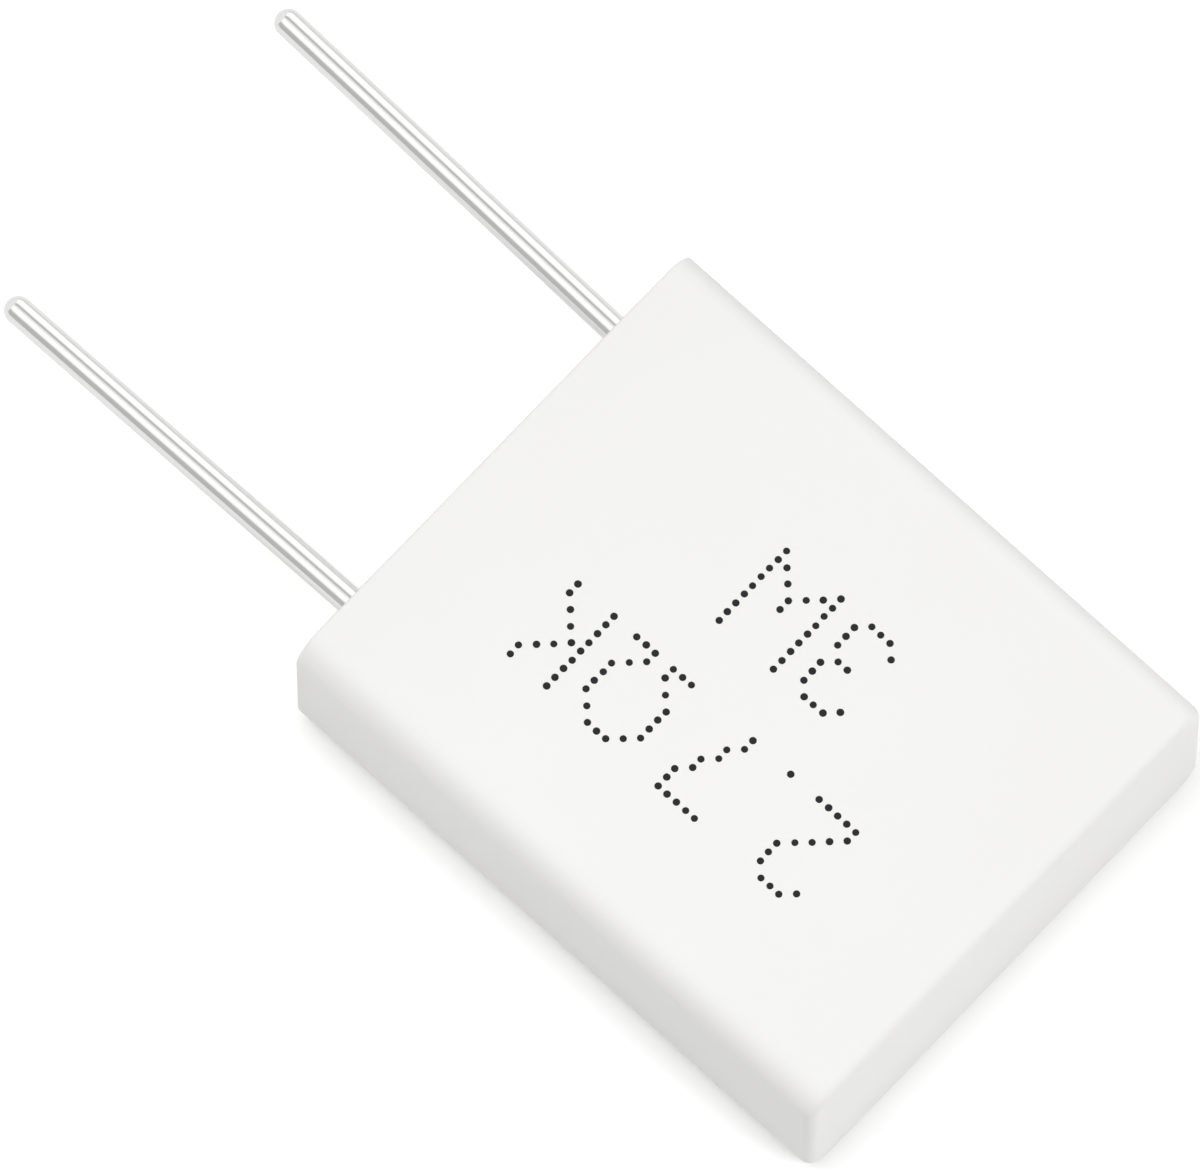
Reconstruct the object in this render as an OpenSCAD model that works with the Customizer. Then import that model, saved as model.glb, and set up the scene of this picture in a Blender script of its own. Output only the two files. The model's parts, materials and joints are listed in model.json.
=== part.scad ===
// Ceramic-cased cement resistor with two wire leads at one end. It lies on the broad face of its case, with
// its leads along +Y. The origin is the middle of the underside of the case. Units are millimetres.

/* [Ceramic case] */
// Width of the case, across both leads
case_w = 14; // [12.5:0.5:20]
// Length of the case, along the leads
case_l = 17; // [15.5:0.1:26]
// Thickness of the case
case_t = 5.4; // [4.2:0.1:8]
// Radius of the four long edges
edge_r = 0.8; // [0.6:0.1:1.3]
// Radius of the edge round the closed end
end_r = 0.3; // [0.15:0.05:0.4]
// Thickness of the four side walls
wall_t = 1.1; // [0.8:0.05:1.3]
// Thickness of the closed end
end_wall_t = 1.3; // [0.9:0.1:2]
// Radius of the cavity's long inner corners
cavity_r = 0.4; // [0.2:0.05:0.7]
// Width of the chamfer round the inside of the mouth
mouth_chamfer = 0.2; // [0.1:0.05:0.3]

/* [Cement] */
// Depth of the cement's flat surface below the rim of the mouth
cement_sink = 0.5; // [0.45:0.05:0.8]
// Height and width of the sloping edge where the wet cement crept up the walls
wall_creep = 0.2; // [0.1:0.05:0.25]
// Height and width of the collar where it crept up each lead
lead_creep = 0.25; // [0.1:0.05:0.4]

/* [Leads] */
// Diameter of the round wire
lead_d = 0.72; // [0.5:0.01:1]
// Distance from each side of the case to the wire beside it, where that wire leaves the cement
lead_inset = 2.3; // [2.15:0.05:3.2]
// Distance by which the plate and both wires sit off the middle of the case, towards +X
element_shift = 0.15; // [-0.4:0.05:0.4]
// Length of the left wire past the rim of the mouth
left_out = 11.8; // [4:0.1:38]
// Length of the right wire past the rim of the mouth
right_out = 12; // [4:0.1:38]
// Angle by which the left wire leans outwards
left_lean = 0.6; // [0.6:0.1:3]
// Angle by which the right wire leans outwards
right_lean = 1.5; // [0.6:0.1:3]
// Height of the knee, where a wire starts to lean, above its collar of cement
knee_rise = 0.1; // [0.1:0.05:0.3]
// Height of the bulge that the bend leaves on the wire at its knee
knee_bulge = 0.01; // [0.01:0.005:0.03]
// Length of round wire that is held in the cement
lead_embed = 1.7; // [1:0.1:2.5]
// Length over which the wire is pressed from round to flat
press_l = 0.9; // [0.6:0.1:1.2]
// Thickness of the flattened end
paddle_t = 0.36; // [0.25:0.01:0.45]
// Width of the flattened end
paddle_w = 1.1; // [0.9:0.05:1.3]
// Length of the flattened end
paddle_l = 2.3; // [1.8:0.1:2.8]
// Number of spot welds on each flattened end
weld_n = 2; // [1:1:2]
// Diameter of the electrode's mark at a spot weld
weld_d = 0.5; // [0.3:0.05:0.7]
// Depth of that mark
weld_dent = 0.06; // [0.03:0.01:0.1]

/* [Resistance plate] */
// Thickness of the alloy plate
plate_t = 0.1; // [0.08:0.01:0.2]
// Number of legs in the zigzag, which is even so that both ends are at the leads
leg_n = 10; // [4:2:12]
// Width of one leg
leg_w = 0.53; // [0.3:0.01:0.6]
// Width of the bar that joins two legs
turn_w = 0.6; // [0.4:0.05:0.9]
// Width of the terminal tab under each lead
tab_w = 1.5; // [1.3:0.05:1.7]
// Length of the terminal tab past the lead's flat end
tab_margin = 0.3; // [0.1:0.05:0.6]
// Gap between a terminal tab and the top of the inner legs
tab_gap = 0.5; // [0.3:0.05:1]
// Gap between the zigzag and the closed end of the cavity
plate_clear = 0.9; // [0.5:0.1:1.5]

/* [Hidden] */
$fn = 64;
over = 0.5;                                  // how far a cutter runs past the face that it cuts
root = 0.1;                                  // how deep a collar of cement is rooted in the rest
lip = 0.03;                                  // thickness of a collar's upper edge
mid_z = case_t / 2;                          // height of the wires, half way up the case
mouth_y = case_l / 2;                        // rim of the mouth
back_y = -case_l / 2;                        // outside of the closed end
cavity_w = case_w - 2 * wall_t;
cavity_t = case_t - 2 * wall_t;
cavity_back_y = back_y + end_wall_t;
cement_y = mouth_y - cement_sink;            // flat surface of the cement
lead_pitch = case_w - 2 * lead_inset;        // distance between the two wires at the cement
knee_y = cement_y + lead_creep + knee_rise;  // where a wire starts to lean
press_y = cement_y - lead_embed;             // where the wire stops being round
paddle_y = press_y - press_l;                // where the flat end starts
paddle_end_y = paddle_y - paddle_l;
plate_top_z = mid_z - paddle_t / 2;          // the plate lies under the flat ends
tab_end_y = paddle_end_y - tab_margin;       // where the outer legs leave the tabs
inner_top_y = tab_end_y - tab_gap;           // top of the zigzag between the tabs
plate_end_y = cavity_back_y + plate_clear;
leg_step = lead_pitch / (leg_n - 1);         // the outer legs hang straight under the leads
slot_w = leg_step - leg_w;

// A rectangle with round corners, about the origin
module round_rectangle(w, h, r) {
    square([w - 2 * r, h], center = true);
    square([w, h - 2 * r], center = true);
    for (x = [-1, 1], y = [-1, 1])
        translate([x * (w / 2 - r), y * (h / 2 - r)]) circle(r);
}

// A bar along Y from y0 to y1, with round long edges, half way up the case
module round_bar(w, h, r, y0, y1) {
    translate([0, y1, mid_z])
        rotate([90, 0, 0])
            linear_extrude(height = y1 - y0) round_rectangle(w, h, r);
}

// The same bar, but it grows wider all round by flare on its way from y0 to y1
module flared_bar(w, h, r, flare, y0, y1) {
    x = w / 2 - r;
    z = h / 2 - r;
    translate([0, 0, mid_z]) {
        translate([0, 0, -z])
            linear_extrude(height = 2 * z)
                polygon([[-w / 2, y0], [w / 2, y0], [w / 2 + flare, y1], [-w / 2 - flare, y1]]);
        translate([-x, 0, 0])
            rotate([90, 0, 90])
                linear_extrude(height = 2 * x)
                    polygon([[y0, -h / 2], [y1, -h / 2 - flare], [y1, h / 2 + flare], [y0, h / 2]]);
        for (sx = [-1, 1], sz = [-1, 1])
            translate([sx * x, y0, sz * z])
                rotate([-90, 0, 0]) cylinder(r1 = r, r2 = r + flare, h = y1 - y0);
    }
}

// The closed end of the case: a slab, a strip of round edge on each side, and a turned corner between two
// strips. All of them run on into the bar.
module closed_end() {
    x = case_w / 2 - edge_r;
    z = case_t / 2 - edge_r;
    translate([0, back_y, mid_z]) {
        translate([-x, 0, -z]) cube([2 * x, end_r + over, 2 * z]);
        for (side = [0, 180]) rotate([0, side, 0]) {
            translate([x, 0, -z]) linear_extrude(height = 2 * z) end_profile();
            translate([x, 0, z]) rotate([0, -90, 0]) linear_extrude(height = 2 * x) end_profile();
            translate([x, 0, -z]) turned_corner(0);
            translate([x, 0, z]) turned_corner(-90);
        }
    }
}

module turned_corner(turn) {
    rotate([-90, 0, 0]) rotate([0, 0, turn]) rotate_extrude(angle = 90) end_profile();
}

// The section of that edge: as wide as a long edge's radius, with one round corner
module end_profile() {
    square([edge_r - end_r, end_r + over]);
    intersection() {
        square([edge_r, end_r]);
        translate([edge_r - end_r, end_r]) circle(end_r);
    }
}

// Pressed and fired ceramic, open at the lead end
module ceramic_case() {
    color([0.96, 0.96, 0.95])
        difference() {
            union() {
                round_bar(case_w, case_t, edge_r, back_y + end_r, mouth_y);
                closed_end();
            }
            round_bar(cavity_w, cavity_t, cavity_r, cavity_back_y, mouth_y + over);
            flared_bar(cavity_w, cavity_t, cavity_r, mouth_chamfer + over,
                       mouth_y - mouth_chamfer, mouth_y + over);
        }
}

// Cement that fills the case round the plate and the wires
module cement_fill() {
    color([0.86, 0.86, 0.84])
        difference() {
            union() {
                cement_block();
                translate([element_shift, 0, 0]) {
                    lead_collar();
                    mirror([1, 0, 0]) lead_collar();
                }
            }
            resistance_plate();
            lead_left();
            lead_right();
        }
}

// The fill of the cavity, whose surface rises to the walls
module cement_block() {
    difference() {
        round_bar(cavity_w, cavity_t, cavity_r, cavity_back_y, cement_y + wall_creep);
        flared_bar(cavity_w - 2 * wall_creep, cavity_t - 2 * wall_creep, cavity_r - wall_creep / 2,
                   wall_creep + over, cement_y, cement_y + wall_creep + over);
    }
}

// The collar of cement round the left wire
module lead_collar() {
    h = root + lead_creep;
    top_r = lead_d / 2 + lip;
    translate([-lead_pitch / 2, cement_y - root, mid_z])
        rotate([-90, 0, 0]) cylinder(r1 = top_r + h, r2 = top_r, h = h);
}

// One tinned copper wire, on the left: round outside, pressed flat and welded inside
module lead(out, lean) {
    color([0.78, 0.79, 0.8])
        translate([-lead_pitch / 2, 0, mid_z]) {
            pressed_end();
            translate([0, knee_y, 0]) leaning_wire(mouth_y + out - knee_y, lean);
        }
}

// The wire from its knee to its round tip, which is reach away
module leaning_wire(reach, lean) {
    sphere(r = lead_d / 2 + knee_bulge);
    rotate([0, 0, lean]) {
        rotate([-90, 0, 0]) cylinder(d = lead_d, h = reach - lead_d / 2);
        translate([0, reach - lead_d / 2, 0]) sphere(d = lead_d);
    }
}

// The held end: a turned form that widens from the wire to the paddle, cut to the press's side view
module pressed_end() {
    difference() {
        intersection() {
            translate([0, paddle_end_y, 0])
                rotate([-90, 0, 0])
                    rotate_extrude()
                        polygon([[0, 0], [paddle_w / 2, 0], [paddle_w / 2, paddle_l],
                                 [lead_d / 2, paddle_l + press_l], [lead_d / 2, knee_y - paddle_end_y],
                                 [0, knee_y - paddle_end_y]]);
            press_side_view();
        }
        weld_marks();
    }
}

// What the press leaves of the wire, seen from the side: full height, two slopes and the thin paddle
module press_side_view() {
    slope = (lead_d - paddle_t) / 2 / press_l;
    wide = paddle_w / 2;
    past_y = press_y + over;
    past_z = lead_d / 2 + over * slope;
    end_y = paddle_end_y - over;
    translate([-paddle_w, 0, 0])
        rotate([90, 0, 90])
            linear_extrude(height = 2 * paddle_w)
                polygon([[knee_y + over, -wide], [knee_y + over, wide], [past_y, wide], [past_y, past_z],
                         [paddle_y, paddle_t / 2], [end_y, paddle_t / 2], [end_y, -paddle_t / 2],
                         [paddle_y, -paddle_t / 2], [past_y, -past_z], [past_y, -wide]]);
}

// The marks of the welding electrode in the upper face of the paddle
module weld_marks() {
    for (i = [1 : weld_n])
        translate([0, paddle_y - i * paddle_l / (weld_n + 1), paddle_t / 2 - weld_dent])
            cylinder(d = weld_d, h = weld_dent + over);
}

// Alloy plate, punched into a zigzag that has a terminal tab at each end
module resistance_plate() {
    color([0.55, 0.53, 0.5])
        translate([element_shift, 0, plate_top_z - plate_t])
            linear_extrude(height = plate_t)
                difference() {
                    union() {
                        zigzag_blank();
                        terminal_tab();
                        mirror([1, 0]) terminal_tab();
                    }
                    for (i = [0 : leg_n - 2]) slot(i);
                }
}

// The plate before its slots are punched, between the tabs
module zigzag_blank() {
    w = lead_pitch + leg_w;
    translate([-w / 2, plate_end_y]) square([w, inner_top_y - plate_end_y]);
}

// A terminal tab, and the outer leg that runs down from it
module terminal_tab() {
    translate([lead_pitch / 2 - tab_w / 2, tab_end_y]) square([tab_w, paddle_y - tab_end_y]);
    translate([lead_pitch / 2 - leg_w / 2, inner_top_y - over])
        square([leg_w, tab_end_y - inner_top_y + over]);
}

// Slot i from the left: it is open at the tabs or at the closed end by turns, and ends in a half circle
module slot(i) {
    x = -lead_pitch / 2 + (i + 0.5) * leg_step;
    from_top = i % 2 == 0;
    y0 = from_top ? plate_end_y + turn_w + slot_w / 2 : plate_end_y - over;
    y1 = from_top ? inner_top_y + over / 2 : inner_top_y - turn_w - slot_w / 2;
    translate([x - slot_w / 2, y0]) square([slot_w, y1 - y0]);
    translate([x, from_top ? y0 : y1]) circle(d = slot_w);
}

module lead_left() { translate([element_shift, 0, 0]) lead(left_out, left_lean); }
module lead_right() { translate([element_shift, 0, 0]) mirror([1, 0, 0]) lead(right_out, right_lean); }

ceramic_case();
cement_fill();
resistance_plate();
lead_left();
lead_right();
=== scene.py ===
import json
import math
import random

import bmesh
import bpy
from bpy.props import FloatProperty, FloatVectorProperty, IntProperty, PointerProperty
from mathutils import Matrix, Vector, noise


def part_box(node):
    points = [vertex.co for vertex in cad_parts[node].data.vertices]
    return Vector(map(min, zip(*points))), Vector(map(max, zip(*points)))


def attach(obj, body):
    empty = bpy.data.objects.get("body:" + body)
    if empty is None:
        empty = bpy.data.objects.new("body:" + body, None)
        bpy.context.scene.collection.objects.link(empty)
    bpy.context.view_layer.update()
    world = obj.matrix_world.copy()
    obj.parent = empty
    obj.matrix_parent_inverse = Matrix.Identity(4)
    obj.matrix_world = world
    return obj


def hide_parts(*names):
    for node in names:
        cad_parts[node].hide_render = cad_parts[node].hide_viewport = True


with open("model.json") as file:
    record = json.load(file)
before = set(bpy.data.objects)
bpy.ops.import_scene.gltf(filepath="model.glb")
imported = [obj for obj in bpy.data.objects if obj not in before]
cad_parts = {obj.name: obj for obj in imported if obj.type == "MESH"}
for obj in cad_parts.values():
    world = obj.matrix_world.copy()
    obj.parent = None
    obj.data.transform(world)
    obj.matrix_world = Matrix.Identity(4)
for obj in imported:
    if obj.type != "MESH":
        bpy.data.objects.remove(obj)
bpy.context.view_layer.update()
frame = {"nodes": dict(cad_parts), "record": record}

# The looks of a flat ceramic-cased cement resistor: its pressed ceramic case, the cement in its mouth,
# two tinned wires and a dotted ink marking, on a plain studio floor. Lengths are in metres.

bl_info = {
    "name": "Cement resistor",
    "version": (1, 0, 0),
    "blender": (4, 5, 0),
    "location": "View3D > Sidebar > Resistor",
    "description": "Builds the case, cement, wires and marking of a cement resistor, and its studio stage",
    "category": "Object",
}

MM = 0.001
BODY = "root"
CASE_LOW, CASE_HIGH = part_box("ceramic_case")
FILL_LOW, FILL_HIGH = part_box("cement_fill")
MOUNTS = {mount["name"]: mount for mount in frame["record"]["mounts"]}


# Colours and materials

def linear(hex_colour):
    """The linear values of an sRGB colour such as "F4F4F2"."""
    def channel(value):
        return value / 12.92 if value <= 0.04045 else ((value + 0.055) / 1.055) ** 2.4
    return tuple(channel(int(hex_colour[i:i + 2], 16) / 255) for i in (0, 2, 4))


def with_alpha(colour):
    return (*colour, 1.0)


def per_mm(size_mm):
    """The scale of a pattern on Object coordinates whose features are size_mm apart."""
    return 1 / (size_mm * MM)


def new_material(name):
    material = bpy.data.materials.new(name)
    material.use_nodes = True
    material.node_tree.nodes.clear()
    return material


def add(tree, kind, inputs=None, **settings):
    """Adds a node, sets its settings, and fills its inputs with values or links."""
    node = tree.nodes.new(kind)
    for key, value in settings.items():
        setattr(node, key, value)
    for key, value in (inputs or {}).items():
        if isinstance(value, bpy.types.NodeSocket):
            tree.links.new(value, node.inputs[key])
        else:
            node.inputs[key].default_value = value
    return node


def fired_ceramic(colour, warm_colour):
    """Steatite ceramic, dry pressed in a die and fired without a glaze."""
    material = new_material("fired_steatite_ceramic")
    tree = material.node_tree
    place = add(tree, "ShaderNodeTexCoord").outputs["Object"]
    # the body's white drifts a little over several millimetres, as the powder's density does
    drift = add(tree, "ShaderNodeTexNoise", {"Vector": place, "Scale": per_mm(6), "Detail": 2.0})
    body = add(tree, "ShaderNodeMix", {"Factor": drift.outputs["Fac"], "A": with_alpha(colour),
                                       "B": with_alpha(warm_colour)}, data_type="RGBA")
    # pressed powder leaves a fine grain, drawn at 0.12 mm so that it shows at all
    grain = add(tree, "ShaderNodeTexNoise", {"Vector": place, "Scale": per_mm(0.12), "Detail": 4.0})
    rough = add(tree, "ShaderNodeMapRange", {"Value": grain.outputs["Fac"], "To Min": 0.5, "To Max": 0.62})
    bump = add(tree, "ShaderNodeBump", {"Height": grain.outputs["Fac"], "Strength": 0.12,
                                        "Distance": 0.01 * MM})
    skin = add(tree, "ShaderNodeBsdfPrincipled", {
        "Base Color": body.outputs["Result"], "Roughness": rough.outputs["Result"], "IOR": 1.55,
        "Normal": bump.outputs["Normal"]})
    add(tree, "ShaderNodeOutputMaterial", {"Surface": skin.outputs[0]})
    return material


def potting_cement(colour, dark_colour):
    """Silica cement, poured in wet and cured: a dull, sandy face with fine grains."""
    material = new_material("cured_silica_cement")
    tree = material.node_tree
    place = add(tree, "ShaderNodeTexCoord").outputs["Object"]
    # grains of sand show more in some patches than in others, as the paste between them settles
    sand = add(tree, "ShaderNodeTexVoronoi", {"Vector": place, "Scale": per_mm(0.16)})
    patches = add(tree, "ShaderNodeTexNoise", {"Vector": place, "Scale": per_mm(1.2), "Detail": 5.0})
    grains = add(tree, "ShaderNodeMath", {0: sand.outputs["Distance"], 1: patches.outputs["Fac"]},
                 operation="MULTIPLY")
    body = add(tree, "ShaderNodeMix", {"Factor": grains.outputs[0], "A": with_alpha(colour),
                                       "B": with_alpha(dark_colour)}, data_type="RGBA")
    bump = add(tree, "ShaderNodeBump", {"Height": grains.outputs[0], "Strength": 0.6, "Distance": 0.04 * MM})
    skin = add(tree, "ShaderNodeBsdfPrincipled", {
        "Base Color": body.outputs["Result"], "Roughness": 0.88, "IOR": 1.5,
        "Normal": bump.outputs["Normal"]})
    add(tree, "ShaderNodeOutputMaterial", {"Surface": skin.outputs[0]})
    return material


def tinned_copper(colour):
    """Copper wire with a hot-dipped tin coat: bright, with faint lines along it from the drawing die."""
    material = new_material("tinned_copper_wire")
    tree = material.node_tree
    place = add(tree, "ShaderNodeTexCoord").outputs["Object"]
    # the lines are 0.04 mm apart across the wire and about 3 mm long
    along = add(tree, "ShaderNodeMapping", {"Vector": place, "Scale": (1.0, 0.04 / 3, 1.0)})
    lines = add(tree, "ShaderNodeTexNoise", {"Vector": along.outputs[0], "Scale": per_mm(0.04),
                                             "Detail": 2.0})
    # the coat is duller in patches where it cooled more slowly
    patches = add(tree, "ShaderNodeTexNoise", {"Vector": place, "Scale": per_mm(1.5), "Detail": 3.0})
    rough = add(tree, "ShaderNodeMapRange", {"Value": patches.outputs["Fac"], "To Min": 0.08, "To Max": 0.16})
    bump = add(tree, "ShaderNodeBump", {"Height": lines.outputs["Fac"], "Strength": 0.08,
                                        "Distance": 0.004 * MM})
    skin = add(tree, "ShaderNodeBsdfPrincipled", {
        "Base Color": with_alpha(colour), "Metallic": 1.0, "Roughness": rough.outputs["Result"],
        "Normal": bump.outputs["Normal"]})
    add(tree, "ShaderNodeOutputMaterial", {"Surface": skin.outputs[0]})
    return material


def resistance_alloy(colour):
    """Iron-chromium-aluminium sheet, rolled and punched: grey and satin, with lines from the rolls."""
    material = new_material("rolled_resistance_alloy")
    tree = material.node_tree
    place = add(tree, "ShaderNodeTexCoord").outputs["Object"]
    # the lines are 0.05 mm apart and 1 mm long
    along = add(tree, "ShaderNodeMapping", {"Vector": place, "Scale": (1.0, 0.05, 1.0)})
    lines = add(tree, "ShaderNodeTexNoise", {"Vector": along.outputs[0], "Scale": per_mm(0.05),
                                             "Detail": 3.0})
    rough = add(tree, "ShaderNodeMapRange", {"Value": lines.outputs["Fac"], "To Min": 0.3, "To Max": 0.5})
    bump = add(tree, "ShaderNodeBump", {"Height": lines.outputs["Fac"], "Strength": 0.2,
                                        "Distance": 0.005 * MM})
    skin = add(tree, "ShaderNodeBsdfPrincipled", {
        "Base Color": with_alpha(colour), "Metallic": 1.0, "Roughness": rough.outputs["Result"],
        "Normal": bump.outputs["Normal"]})
    add(tree, "ShaderNodeOutputMaterial", {"Surface": skin.outputs[0]})
    return material


def dot_ink(colour):
    """Quick-drying black ink, shot on as single drops: dull, and a little uneven in depth."""
    material = new_material("dried_jet_ink")
    tree = material.node_tree
    place = add(tree, "ShaderNodeTexCoord").outputs["Object"]
    # the film dries unevenly, in spots of 0.08 mm
    film = add(tree, "ShaderNodeTexNoise", {"Vector": place, "Scale": per_mm(0.08), "Detail": 2.0})
    rough = add(tree, "ShaderNodeMapRange", {"Value": film.outputs["Fac"], "To Min": 0.55, "To Max": 0.75})
    skin = add(tree, "ShaderNodeBsdfPrincipled", {
        "Base Color": with_alpha(colour), "Roughness": rough.outputs["Result"], "IOR": 1.45})
    add(tree, "ShaderNodeOutputMaterial", {"Surface": skin.outputs[0]})
    return material


# Meshes

# Points closer than this are at the same place
TOUCH = 0.001 * MM


def add_piece(name, mesh_in_progress, material, node=None, sharp_degrees=40):
    """Makes a finished mesh a piece of the object, riding on its body."""
    mesh = bpy.data.meshes.new(name)
    mesh_in_progress.to_mesh(mesh)
    mesh_in_progress.free()
    mesh.materials.append(material)
    mesh.shade_smooth()
    mesh.set_sharp_from_angle(angle=math.radians(sharp_degrees))
    piece = bpy.data.objects.new(name, mesh)
    bpy.context.scene.collection.objects.link(piece)
    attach(piece, BODY)
    if node:
        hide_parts(node)


def add_block(bm, low, high):
    """Adds a box between two corners and returns its edges."""
    size = high - low
    where = Matrix.Translation((low + high) / 2) @ Matrix.Diagonal((*size, 1.0))
    verts = bmesh.ops.create_cube(bm, size=1.0, matrix=where)["verts"]
    return list({edge for vert in verts for edge in vert.link_edges})


def lies_at(element, axis, value):
    return all(abs(vert.co[axis] - value) < TOUCH for vert in element.verts)


def round_edges(bm, edges, radius, steps):
    bmesh.ops.bevel(bm, geom=edges, offset=radius, offset_type="OFFSET", segments=steps, profile=0.5,
                    affect="EDGES", material=-1)


def case_mesh(size):
    """The ceramic shell: a box with round edges, hollowed from its flat mouth."""
    bm = bmesh.new()
    mouth = CASE_HIGH.y
    # the outside: a block, its long edges, then the edge round its closed end
    edges = add_block(bm, CASE_LOW, CASE_HIGH)
    long_edges = [e for e in edges if not lies_at(e, 1, mouth) and not lies_at(e, 1, CASE_LOW.y)]
    round_edges(bm, long_edges, size.edge_radius, size.round_steps)
    end_edges = [e for e in bm.edges if lies_at(e, 1, CASE_LOW.y)]
    round_edges(bm, end_edges, size.end_radius, size.end_steps)
    outer_mouth = [f for f in bm.faces if lies_at(f, 1, mouth)]
    outer_rim = list(outer_mouth[0].edges)
    outer_faces = set(bm.faces)
    # the cavity: a block turned inside out
    cavity_high = Vector((FILL_HIGH.x, mouth, FILL_HIGH.z))
    edges = add_block(bm, FILL_LOW, cavity_high)
    long_edges = [e for e in edges if not lies_at(e, 1, mouth) and not lies_at(e, 1, FILL_LOW.y)]
    round_edges(bm, long_edges, size.cavity_radius, size.round_steps)
    cavity_faces = [f for f in bm.faces if f not in outer_faces]
    bmesh.ops.reverse_faces(bm, faces=cavity_faces)
    inner_mouth = [f for f in cavity_faces if lies_at(f, 1, mouth)]
    inner_rim = list(inner_mouth[0].edges)
    # the flat rim between the two, and its inner and outer edges
    bmesh.ops.delete(bm, geom=outer_mouth + inner_mouth, context="FACES_ONLY")
    bmesh.ops.bridge_loops(bm, edges=outer_rim + inner_rim)
    round_edges(bm, inner_rim, size.mouth_chamfer, size.rim_steps)
    outer_rim = [e for e in bm.edges if lies_at(e, 1, mouth) and is_outside(e, size)]
    round_edges(bm, outer_rim, size.rim_radius, steps=2)
    return bm


# An edge of the rim is on the outside past this share of the edge radius
OUTSIDE_SHARE = 0.95
# Two faces are in one plane if the cosine between them is past this
FLAT_COSINE = 0.9


def is_outside(edge, size):
    """Does an edge of the rim lie on the outside of the case?"""
    # how far the middle of the edge lies outside the lines that the long edges turn on
    half_width = CASE_HIGH.x - TOUCH
    half_height = (CASE_HIGH.z - CASE_LOW.z) / 2 - TOUCH
    middle = edge.verts[0].co.lerp(edge.verts[1].co, 0.5) - Vector((0, 0, (CASE_HIGH.z + CASE_LOW.z) / 2))
    corner = Vector((max(abs(middle.x) - half_width + size.edge_radius, 0),
                     max(abs(middle.z) - half_height + size.edge_radius, 0)))
    is_far_out = corner.length > size.edge_radius * OUTSIDE_SHARE
    return is_far_out and len(edge.link_faces) == 2 and not edge_is_flat(edge)


def edge_is_flat(edge):
    return abs(edge.link_faces[0].normal.dot(edge.link_faces[1].normal)) > FLAT_COSINE


class WireLine:
    """Where one wire runs: straight out of the cement to its knee, then leaning to its tip."""

    def __init__(self, node, mount):
        low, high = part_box(node)
        self.axis = Vector(MOUNTS[mount]["axis"]).normalized()
        self.at_rim = Vector(MOUNTS[mount]["pos_m"])
        self.radius = MOUNTS[mount]["dims"]["r_mm"] * MM
        self.low_y = low.y
        self.tip_y = high.y

    def at(self, y):
        """The point of the leaning axis at a height along the case."""
        return self.at_rim + self.axis * ((y - self.at_rim.y) / self.axis.y)


WIRES = {
    "lead_left": WireLine("lead_left", "lead_left_wire"),
    "lead_right": WireLine("lead_right", "lead_right_wire"),
}


# The creep of the cement falls off over these shares of its height, from a wall and from a wire
WALL_FALL = 0.8
WIRE_FALL = 0.7
# A grain of sand stands out by this share of its width
GRAIN_RELIEF = 0.16


def cement_mesh(size):
    """The cement: a sandy face that creeps up the walls and the wires, on a block that fills the cavity."""
    bm = bmesh.new()
    width = FILL_HIGH.x - FILL_LOW.x
    height = FILL_HIGH.z - FILL_LOW.z
    face_y = CASE_HIGH.y - size.sink
    where = (Matrix.Translation((0, face_y, (FILL_LOW.z + FILL_HIGH.z) / 2))
             @ Matrix.Rotation(math.radians(-90), 4, "X") @ Matrix.Diagonal((width, height, 1, 1)))
    bmesh.ops.create_grid(bm, x_segments=round(width / size.cell), y_segments=round(height / size.cell),
                          size=0.5, matrix=where)
    for vert in bm.verts:
        to_wall = min(vert.co.x - FILL_LOW.x, FILL_HIGH.x - vert.co.x,
                      vert.co.z - FILL_LOW.z, FILL_HIGH.z - vert.co.z)
        rise = size.wall_creep * math.exp(-to_wall / (size.wall_creep * WALL_FALL))
        for wire in WIRES.values():
            foot = wire.at(face_y + size.wire_creep)
            to_wire = math.hypot(vert.co.x - foot.x, vert.co.z - foot.z) - wire.radius
            rise += size.wire_creep * math.exp(-max(to_wire, 0) / (size.wire_creep * WIRE_FALL))
        swell = noise.noise(vert.co / size.swell_width) * size.swell
        sand = noise.noise(vert.co / size.grain) * size.grain * GRAIN_RELIEF
        vert.co.y += rise + swell + sand
    rim = [e for e in bm.edges if e.is_boundary]
    walls = bmesh.ops.extrude_edge_only(bm, edges=rim)["geom"]
    for vert in [g for g in walls if isinstance(g, bmesh.types.BMVert)]:
        vert.co.y = FILL_LOW.y
    bmesh.ops.edgeloop_fill(bm, edges=[e for e in bm.edges if e.is_boundary])
    bmesh.ops.recalc_face_normals(bm, faces=bm.faces)
    return bm


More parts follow.
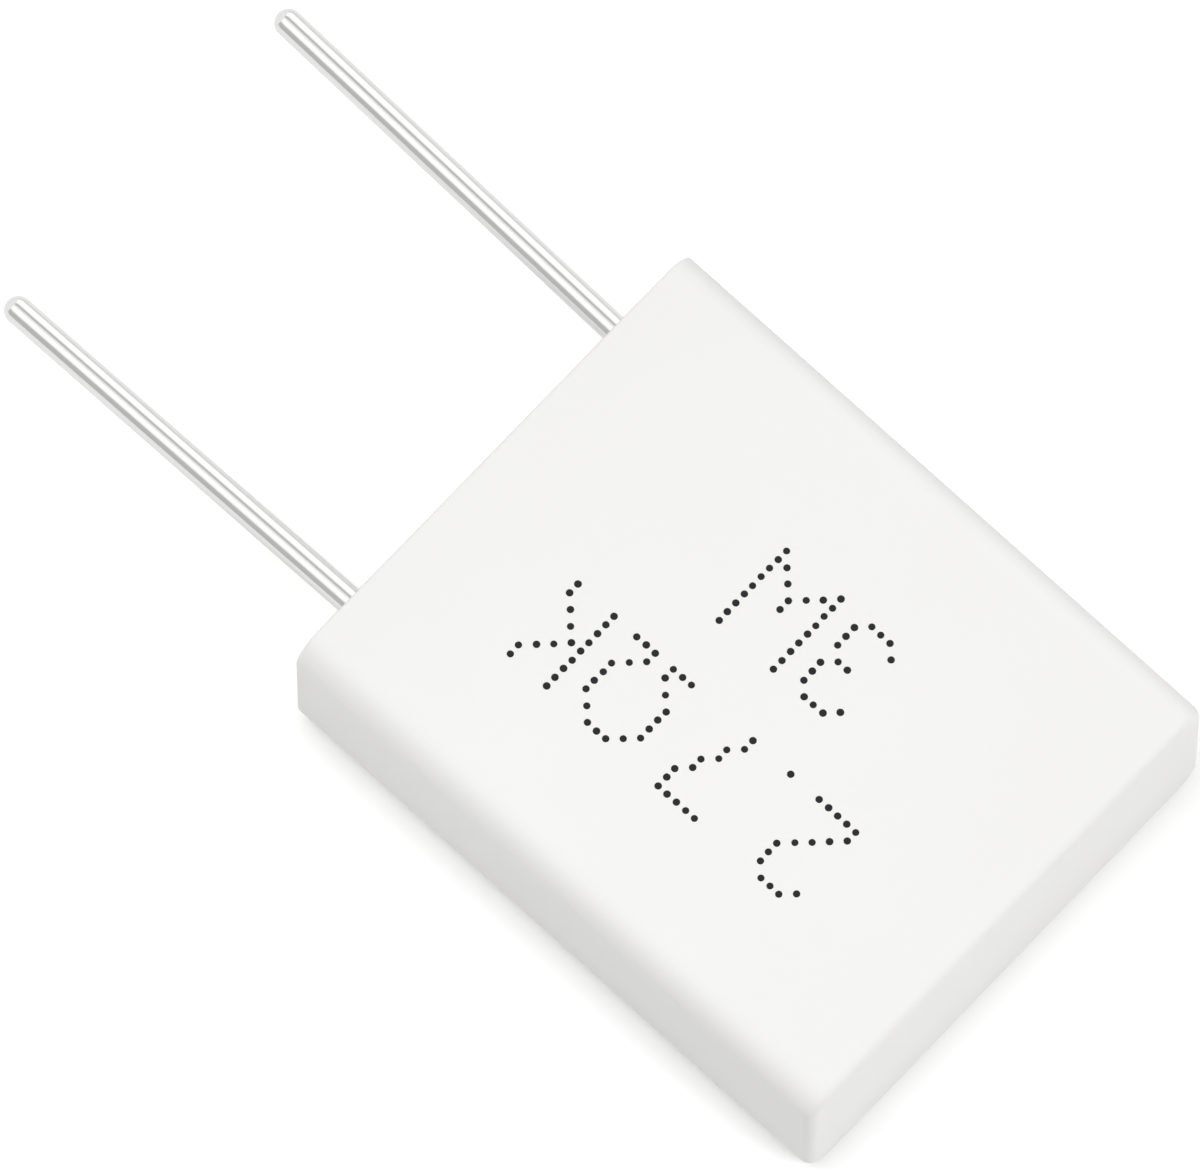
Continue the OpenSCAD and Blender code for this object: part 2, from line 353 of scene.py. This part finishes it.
def wire_mesh(line, size):
    """One wire: turned from its flat end to its tip, pressed flat at one end, and leaning from its knee."""
    bm = bmesh.new()
    press_y = line.low_y + size.paddle_length + size.press_length
    # the outline to turn: the wide end, its taper, the wire and the round tip
    outline = [(0, line.low_y), (size.paddle_width / 2, line.low_y)]
    for step in range(size.press_steps + 1):
        share = step / size.press_steps
        outline.append((size.paddle_width / 2 + share * (line.radius - size.paddle_width / 2),
                        line.low_y + size.paddle_length + share * size.press_length))
    outline.append((line.radius, size.knee_y))
    round_y = size.knee_y + (line.tip_y - line.radius - size.knee_y) / line.axis.y
    for step in range(size.tip_steps + 1):
        turn = math.radians(90) * step / size.tip_steps
        outline.append((line.radius * math.cos(turn), round_y + line.radius * math.sin(turn)))
    verts = [bm.verts.new((x, y, 0)) for x, y in outline]
    edges = [bm.edges.new(pair) for pair in zip(verts, verts[1:])]
    bmesh.ops.spin(bm, geom=verts + edges, cent=(0, 0, 0), axis=(0, 1, 0), dvec=(0, 0, 0),
                   angle=math.tau, steps=size.round_steps, use_merge=True, use_normal_flip=False,
                   use_duplicate=False)
    bmesh.ops.remove_doubles(bm, verts=bm.verts, dist=TOUCH / 2)
    # the press's two flats, and the lean past the knee
    lean = Matrix.Rotation(math.atan2(-line.axis.x, line.axis.y), 4, "Z")
    knee = Vector((0, size.knee_y, 0))
    for vert in bm.verts:
        pressed = max(0.0, min(1.0, (press_y - vert.co.y) / size.press_length))
        half = line.radius + pressed * (size.paddle_thickness / 2 - line.radius)
        if vert.co.y < press_y:
            vert.co.z = max(-half, min(half, vert.co.z))
        if vert.co.y > size.knee_y + TOUCH:
            vert.co = knee + lean @ (vert.co - knee)
    bmesh.ops.translate(bm, verts=bm.verts, vec=line.at(size.knee_y) - knee)
    bmesh.ops.recalc_face_normals(bm, faces=bm.faces)
    return bm


# The marking's glyphs, with nine rows of dots each
GLYPHS = {
    "2": [".###.", "#...#", "....#", "....#", "...#.", "..#..", ".#...", "#....", "#####"],
    "3": [".###.", "#...#", "....#", "....#", "..##.", "....#", "....#", "#...#", ".###."],
    "7": ["#####", "....#", "....#", "...#.", "...#.", "..#..", "..#..", ".#...", ".#..."],
    ".": [".", ".", ".", ".", ".", ".", ".", ".", "#"],
    "K": ["#...#", "#...#", "#..#.", "#.#..", "##...", "#.#..", "#..#.", "#...#", "#...#"],
    "W": ["#.....#", "#.....#", "#.....#", "#.....#", "#..#..#", "#..#..#", "#.#.#.#", "##...##", "#.....#"],
    "ohm": ["..###..", ".#...#.", "#.....#", "#.....#", "#.....#", "#.....#", ".#...#.", "..#.#..",
            "###.###"],
}
# The two lines of the marking: each glyph, and where it starts along +Y in millimetres
FIRST_LINE = [("2", -4.46), (".", -2.33), ("7", -1.38), ("ohm", 0.95), ("K", 3.5)]
SECOND_LINE = [("3", -2.14), ("W", -0.22)]
MARKING_SEED = 7
# A drop's radius varies by this share, and its top has this share of the radius
DROP_VARIES = 0.05
DROP_TOP = 0.9


def marking_dots(size):
    """The middle of each ink dot on the case's upper face. The text reads along +Y, its top towards -X."""
    for row_x, glyphs in ((size.first_row_x, FIRST_LINE), (size.second_row_x, SECOND_LINE)):
        for glyph, start in glyphs:
            for row, dots in enumerate(GLYPHS[glyph]):
                for column, dot in enumerate(dots):
                    if dot == "#":
                        yield row_x + row * size.dot_pitch, start * MM + column * size.dot_pitch


def marking_mesh(size):
    """The marking: low round drops of ink, dried where they landed."""
    bm = bmesh.new()
    scatter = random.Random(MARKING_SEED)
    middle_z = CASE_HIGH.z + (size.ink_height - size.ink_sink) / 2
    for x, y in marking_dots(size):
        radius = size.dot_width / 2 * scatter.uniform(1 - DROP_VARIES, 1 + DROP_VARIES)
        off_x, off_y = (scatter.uniform(-1, 1) * size.dot_scatter for _ in range(2))
        bmesh.ops.create_cone(bm, cap_ends=True, cap_tris=False, segments=size.dot_sides, radius1=radius,
                              radius2=radius * DROP_TOP, depth=size.ink_height + size.ink_sink,
                              matrix=Matrix.Translation((x + off_x, y + off_y, middle_z)))
    return bm


# Sizes and colours that a user would change

class CaseSettings(bpy.types.PropertyGroup):
    edge_radius: FloatProperty(name="Long edge radius", description="Radius of the four long edges",
                               default=0.8 * MM, unit="LENGTH")
    end_radius: FloatProperty(name="End radius", description="Radius of the edge round the closed end",
                              default=0.3 * MM, unit="LENGTH")
    end_steps: IntProperty(name="End steps", description="Faces across the edge of the closed end", default=6)
    cavity_radius: FloatProperty(name="Cavity radius", description="Radius of the cavity's long edges",
                                 default=0.4 * MM, unit="LENGTH")
    mouth_chamfer: FloatProperty(name="Mouth edge", description="Radius of the edge inside the mouth",
                                 default=0.2 * MM, unit="LENGTH")
    rim_radius: FloatProperty(name="Rim radius", description="Radius of the sharp outer edge of the rim",
                              default=0.06 * MM, unit="LENGTH")
    round_steps: IntProperty(name="Round steps", description="Faces across a round edge", default=14)
    rim_steps: IntProperty(name="Rim steps", description="Faces across the mouth's edge", default=4)
    colour: FloatVectorProperty(name="Colour", description="White of the fired ceramic",
                                default=linear("F7F7F5"), subtype="COLOR")
    warm_colour: FloatVectorProperty(name="Warm colour", description="Warmer white that it drifts to",
                                     default=linear("F5F4F1"), subtype="COLOR")


class CementSettings(bpy.types.PropertyGroup):
    sink: FloatProperty(name="Sink", description="Depth of the cement below the rim",
                        default=0.5 * MM, unit="LENGTH")
    wall_creep: FloatProperty(name="Wall creep", description="Height to which it crept up the walls",
                              default=0.2 * MM, unit="LENGTH")
    wire_creep: FloatProperty(name="Wire creep", description="Height to which it crept up the wires",
                              default=0.25 * MM, unit="LENGTH")
    swell: FloatProperty(name="Swell", description="Height of the slow swells in its face",
                         default=0.06 * MM, unit="LENGTH")
    swell_width: FloatProperty(name="Swell width", description="Width of those swells",
                               default=1.6 * MM, unit="LENGTH")
    grain: FloatProperty(name="Grain", description="Width of a grain of sand",
                         default=0.18 * MM, unit="LENGTH")
    cell: FloatProperty(name="Cell", description="Size of one face of its mesh",
                        default=0.06 * MM, unit="LENGTH")
    colour: FloatVectorProperty(name="Colour", description="Grey white of the cement",
                                default=linear("E3E2DC"), subtype="COLOR")
    dark_colour: FloatVectorProperty(name="Dark colour", description="Colour between its grains",
                                     default=linear("BDBBB2"), subtype="COLOR")


class WireSettings(bpy.types.PropertyGroup):
    knee_y: FloatProperty(name="Knee", description="Height along the case at which the wires start to lean",
                          default=8.35 * MM, unit="LENGTH")
    paddle_width: FloatProperty(name="Flat width", description="Width of the flattened end",
                                default=1.1 * MM, unit="LENGTH")
    paddle_thickness: FloatProperty(name="Flat thickness", description="Thickness of the flattened end",
                                    default=0.36 * MM, unit="LENGTH")
    paddle_length: FloatProperty(name="Flat length", description="Length of the flattened end",
                                 default=2.3 * MM, unit="LENGTH")
    press_length: FloatProperty(name="Press length", description="Length over which the wire goes flat",
                                default=0.9 * MM, unit="LENGTH")
    press_steps: IntProperty(name="Press steps", description="Faces along that length", default=4)
    round_steps: IntProperty(name="Round steps", description="Faces round the wire", default=64)
    tip_steps: IntProperty(name="Tip steps", description="Faces along the round tip", default=12)
    colour: FloatVectorProperty(name="Colour", description="Colour of the tin coat",
                                default=linear("E6E6E4"), subtype="COLOR")


class PlateSettings(bpy.types.PropertyGroup):
    colour: FloatVectorProperty(name="Colour", description="Colour of the resistance alloy",
                                default=linear("A09C96"), subtype="COLOR")


class MarkingSettings(bpy.types.PropertyGroup):
    dot_pitch: FloatProperty(name="Dot pitch", description="Distance between two dots",
                             default=0.3 * MM, unit="LENGTH")
    dot_width: FloatProperty(name="Dot width", description="Diameter of a dot",
                             default=0.19 * MM, unit="LENGTH")
    dot_sides: IntProperty(name="Dot sides", description="Faces round a dot", default=20)
    dot_scatter: FloatProperty(name="Dot scatter", description="Distance by which a dot may miss its place",
                               default=0.008 * MM, unit="LENGTH")
    ink_height: FloatProperty(name="Ink height", description="Height of a dried dot",
                              default=0.008 * MM, unit="LENGTH")
    ink_sink: FloatProperty(name="Ink sink", description="Depth to which the ink soaked in",
                            default=0.004 * MM, unit="LENGTH")
    first_row_x: FloatProperty(name="First line", description="Place of the first line's top",
                               default=-3.45 * MM, unit="LENGTH")
    second_row_x: FloatProperty(name="Second line", description="Place of the second line's top",
                                default=0.6 * MM, unit="LENGTH")
    colour: FloatVectorProperty(name="Colour", description="Black of the ink",
                                default=linear("0C0C0E"), subtype="COLOR")


class StageSettings(bpy.types.PropertyGroup):
    view_azimuth: FloatProperty(name="Azimuth", description="Direction of the camera, from +X",
                                default=math.radians(-137.04), subtype="ANGLE")
    view_elevation: FloatProperty(name="Elevation", description="Height of the camera above the floor",
                                  default=math.radians(73.62), subtype="ANGLE")
    view_x: FloatProperty(name="View X", description="Point on the floor that the camera looks at, X",
                          default=0.409 * MM, unit="LENGTH")
    view_y: FloatProperty(name="View Y", description="Point on the floor that the camera looks at, Y",
                          default=5.33 * MM, unit="LENGTH")
    view_distance: FloatProperty(name="Distance", description="Distance from the camera to that point",
                                 default=731 * MM, unit="LENGTH")
    lens: FloatProperty(name="Lens", description="Focal length of the camera, in millimetres", default=900)
    card_distance: FloatProperty(name="Card distance", description="Distance of the cards from the wires",
                                 default=0.5, unit="LENGTH")
    card_length: FloatProperty(name="Card length", description="Length of a card along the wires",
                               default=0.8, unit="LENGTH")
    card_forward: FloatProperty(name="Card forward", description="Distance of the cards' middle along +Y",
                                default=0.1, unit="LENGTH")
    floor_size: FloatProperty(name="Floor size", description="Side of the floor", default=3.0, unit="LENGTH")
    floor_colour: FloatVectorProperty(name="Floor colour", description="Colour of the floor",
                                      default=linear("EEEEEE"), subtype="COLOR")
    floor_lift: FloatProperty(name="Floor lift", description="Light added to the floor as the camera sees it",
                              default=0.42)
    mirrored_lift: FloatProperty(name="Mirrored lift", description="Light added to it as the metal shows it",
                                 default=0.15)
    # the reach of the painted shade: how far from the object the floor's lift fades
    painted_shade_reach: FloatProperty(name="Shade reach", description="How far from the object the lift fades",
                               default=1.4 * MM, unit="LENGTH")
    ambient: FloatProperty(name="Ambient", description="Strength of the even light from all sides",
                           default=0.46)


# Stage

def direction(azimuth, elevation):
    """The unit vector towards a direction, given from +X and from the floor."""
    return Vector((math.cos(elevation) * math.cos(azimuth), math.cos(elevation) * math.sin(azimuth),
                   math.sin(elevation)))


def aim(thing, place, target):
    """Puts a camera or lamp at a place, pointing at a target, with its upper side up."""
    thing.location = place
    thing.rotation_euler = (target - place).to_track_quat("-Z", "Y").to_euler()


def set_camera(scene, stage):
    camera = bpy.data.cameras.new("view_camera")
    camera.lens = stage.lens
    camera.sensor_width = 36
    camera.sensor_fit = "HORIZONTAL"
    holder = bpy.data.objects.new("view_camera", camera)
    scene.collection.objects.link(holder)
    target = Vector((stage.view_x, stage.view_y, 0))
    aim(holder, target + stage.view_distance * direction(stage.view_azimuth, stage.view_elevation), target)
    scene.camera = holder


def seen_directly(tree):
    """1 for rays from the camera, and for reflected and refracted ones, which show the background too."""
    path = add(tree, "ShaderNodeLightPath")
    either = add(tree, "ShaderNodeMath", {0: path.outputs["Is Camera Ray"], 1: path.outputs["Is Glossy Ray"]},
                 operation="MAXIMUM")
    return add(tree, "ShaderNodeMath", {0: either.outputs[0], 1: path.outputs["Is Transmission Ray"]},
               operation="MAXIMUM").outputs[0]


def floor_material(stage):
    """Matt white paper. Seen directly it is lifted to plain white, but for the shade beside the object, which
    is partly real shadow and partly painted shade.
    """
    material = new_material("white_paper_sweep")
    tree = material.node_tree
    paper = add(tree, "ShaderNodeBsdfDiffuse", {"Color": with_alpha(stage.floor_colour)})
    # the lift fades close to the object, where the paper sees least light: this fade is painted shade, drawn
    # from ambient occlusion
    shade = add(tree, "ShaderNodeAmbientOcclusion", {"Distance": stage.painted_shade_reach}, samples=8)
    path = add(tree, "ShaderNodeLightPath")
    direct = add(tree, "ShaderNodeMath", {0: path.outputs["Is Camera Ray"],
                                          1: path.outputs["Is Transmission Ray"]}, operation="MAXIMUM")
    lift = add(tree, "ShaderNodeMath", {0: direct.outputs[0], 1: stage.floor_lift}, operation="MULTIPLY")
    # less is added to the paper's mirror image, so that the metal keeps a grey outline against the background
    lifts = add(tree, "ShaderNodeMath", {0: path.outputs["Is Glossy Ray"], 1: stage.mirrored_lift,
                                         2: lift.outputs[0]}, operation="MULTIPLY_ADD")
    strength = add(tree, "ShaderNodeMath", {0: shade.outputs["AO"], 1: lifts.outputs[0]},
                   operation="MULTIPLY")
    glow = add(tree, "ShaderNodeEmission", {"Strength": strength.outputs[0]})
    sweep = add(tree, "ShaderNodeAddShader", {0: paper.outputs[0], 1: glow.outputs[0]})
    add(tree, "ShaderNodeOutputMaterial", {"Surface": sweep.outputs[0]})
    return material


def add_sheet(name, material, where):
    """Adds a flat sheet for the stage: a square with sides of 1 metre, put in its place by a matrix."""
    bm = bmesh.new()
    bmesh.ops.create_grid(bm, x_segments=1, y_segments=1, size=0.5, matrix=where)
    mesh = bpy.data.meshes.new(name)
    bm.to_mesh(mesh)
    bm.free()
    mesh.materials.append(material)
    sheet = bpy.data.objects.new(name, mesh)
    bpy.context.scene.collection.objects.link(sheet)
    return sheet


def set_floor(stage):
    where = Matrix.Diagonal((stage.floor_size, stage.floor_size, 1, 1))
    floor = add_sheet("studio_floor", floor_material(stage), where)


# Each softbox: azimuth from +X and elevation in degrees, distance and side in metres, light in watts
SOFTBOXES = {
    "softbox_over": (118, 62, 0.15, 0.10, 0.084),
    "softbox_front": (-66, 38, 1.0, 0.60, 3.85),
}

# Each card hangs along the wires and is seen in the metal alone: a glowing sheet that lights nothing and puts
# painted reflections, bright and grey bands, on the wires. Its middle and half its width are in degrees from
# the zenith towards +X, and its brightness is a share of the white background's.
CARDS = {
    "card_grey_left": (-71, 20, 0.58),
    "card_white_left": (-25, 16, 1.3),
    "card_grey_over": (13, 7, 0.55),
    "card_white_right": (50, 19, 1.35),
    "card_grey_right": (86, 8, 0.8),
}


def set_lights(scene, stage):
    world = bpy.data.worlds.new("white_studio")
    world.use_nodes = True
    tree = world.node_tree
    tree.nodes.clear()
    room = add(tree, "ShaderNodeBackground", {"Strength": stage.ambient})
    white = add(tree, "ShaderNodeBackground", {"Strength": 1.0})
    for background in (room, white):
        background.inputs["Color"].default_value = (1, 1, 1, 1)
    seen = add(tree, "ShaderNodeMixShader", {0: seen_directly(tree), 1: room.outputs[0], 2: white.outputs[0]})
    add(tree, "ShaderNodeOutputWorld", {"Surface": seen.outputs[0]})
    scene.world = world
    middle = Vector((0, 0, CASE_HIGH.z / 2))
    for name, (azimuth, elevation, distance, side, watts) in SOFTBOXES.items():
        lamp = bpy.data.lights.new(name, "AREA")
        lamp.shape = "SQUARE"
        lamp.size = side
        lamp.energy = watts
        holder = bpy.data.objects.new(name, lamp)
        scene.collection.objects.link(holder)
        aim(holder, middle + distance * direction(math.radians(azimuth), math.radians(elevation)), middle)
        # the softboxes are hidden from the metal; the cards give it painted reflections in their place
        holder.visible_glossy = False
    for name, (angle, half_width, share) in CARDS.items():
        set_card(name, math.radians(angle), math.radians(half_width), share, stage)


def set_card(name, angle, half_width, share, stage):
    """Hangs one card along the wires: a glowing sheet that lights nothing and gives the metal a painted
    reflection. It glows evenly, so it looks as bright from every side.
    """
    material = new_material(name)
    glow = add(material.node_tree, "ShaderNodeEmission", {"Strength": share})
    add(material.node_tree, "ShaderNodeOutputMaterial", {"Surface": glow.outputs[0]})
    width = 2 * stage.card_distance * math.tan(half_width)
    where = (Matrix.Translation((0, stage.card_forward, CASE_HIGH.z / 2)) @ Matrix.Rotation(angle, 4, "Y")
             @ Matrix.Translation((0, 0, stage.card_distance))
             @ Matrix.Diagonal((width, stage.card_length, 1, 1)))
    card = add_sheet(name, material, where)
    card.visible_camera = card.visible_diffuse = card.visible_transmission = card.visible_shadow = False


# Operators

class RESISTOR_OT_case(bpy.types.Operator):
    """Build the ceramic case"""
    bl_idname = "resistor.case"
    bl_label = "Ceramic case"

    def execute(self, context):
        size = context.scene.resistor_case
        material = fired_ceramic(size.colour, size.warm_colour)
        add_piece("fired_case", case_mesh(size), material, "ceramic_case", sharp_degrees=50)
        return {"FINISHED"}


class RESISTOR_OT_cement(bpy.types.Operator):
    """Build the cement that fills the case"""
    bl_idname = "resistor.cement"
    bl_label = "Cement"

    def execute(self, context):
        size = context.scene.resistor_cement
        material = potting_cement(size.colour, size.dark_colour)
        add_piece("cured_cement", cement_mesh(size), material, "cement_fill",
                  sharp_degrees=70)
        return {"FINISHED"}


class RESISTOR_OT_wires(bpy.types.Operator):
    """Build the two tinned wires"""
    bl_idname = "resistor.wires"
    bl_label = "Wires"

    def execute(self, context):
        size = context.scene.resistor_wires
        material = tinned_copper(size.colour)
        for node, line in WIRES.items():
            add_piece(node.replace("lead", "wire"), wire_mesh(line, size), material, node)
        return {"FINISHED"}


class RESISTOR_OT_plate(bpy.types.Operator):
    """Give the resistance plate its alloy"""
    bl_idname = "resistor.plate"
    bl_label = "Resistance plate"

    def execute(self, context):
        plate = frame["nodes"]["resistance_plate"]
        plate.data.materials.clear()
        plate.data.materials.append(resistance_alloy(context.scene.resistor_plate.colour))
        return {"FINISHED"}


class RESISTOR_OT_marking(bpy.types.Operator):
    """Print the dotted marking on the case"""
    bl_idname = "resistor.marking"
    bl_label = "Marking"

    def execute(self, context):
        size = context.scene.resistor_marking
        add_piece("ink_marking", marking_mesh(size), dot_ink(size.colour))
        return {"FINISHED"}


class RESISTOR_OT_stage(bpy.types.Operator):
    """Set the camera, the floor and the studio light"""
    bl_idname = "resistor.stage"
    bl_label = "Stage"

    def execute(self, context):
        stage = context.scene.resistor_stage
        set_camera(context.scene, stage)
        set_floor(stage)
        set_lights(context.scene, stage)
        context.scene.view_settings.view_transform = "Standard"
        return {"FINISHED"}


# Panel and registration

class RESISTOR_PT_panel(bpy.types.Panel):
    """The steps and sizes of the resistor"""
    bl_idname = "RESISTOR_PT_panel"
    bl_label = "Resistor"
    bl_space_type = "VIEW_3D"
    bl_region_type = "UI"
    bl_category = "Resistor"

    def draw(self, context):
        for operator, group in STEPS:
            box = self.layout.box()
            box.operator(operator)
            for name in getattr(context.scene, group).__annotations__:
                box.prop(getattr(context.scene, group), name)


# The operators in the order in which they run, each with its settings
STEPS = [
    ("resistor.stage", "resistor_stage"),
    ("resistor.case", "resistor_case"),
    ("resistor.cement", "resistor_cement"),
    ("resistor.plate", "resistor_plate"),
    ("resistor.wires", "resistor_wires"),
    ("resistor.marking", "resistor_marking"),
]

GROUPS = {
    "resistor_stage": StageSettings,
    "resistor_case": CaseSettings,
    "resistor_cement": CementSettings,
    "resistor_plate": PlateSettings,
    "resistor_wires": WireSettings,
    "resistor_marking": MarkingSettings,
}

CLASSES = [*GROUPS.values(), RESISTOR_OT_stage, RESISTOR_OT_case, RESISTOR_OT_cement, RESISTOR_OT_plate,
           RESISTOR_OT_wires, RESISTOR_OT_marking, RESISTOR_PT_panel]


def register():
    for cls in CLASSES:
        bpy.utils.register_class(cls)
    for name, group in GROUPS.items():
        setattr(bpy.types.Scene, name, PointerProperty(type=group))


def unregister():
    for name in GROUPS:
        delattr(bpy.types.Scene, name)
    for cls in reversed(CLASSES):
        bpy.utils.unregister_class(cls)


def main():
    register()
    for operator, group in STEPS:
        category, name = operator.split(".")
        getattr(getattr(bpy.ops, category), name)()


if __name__ == "__main__":
    main()
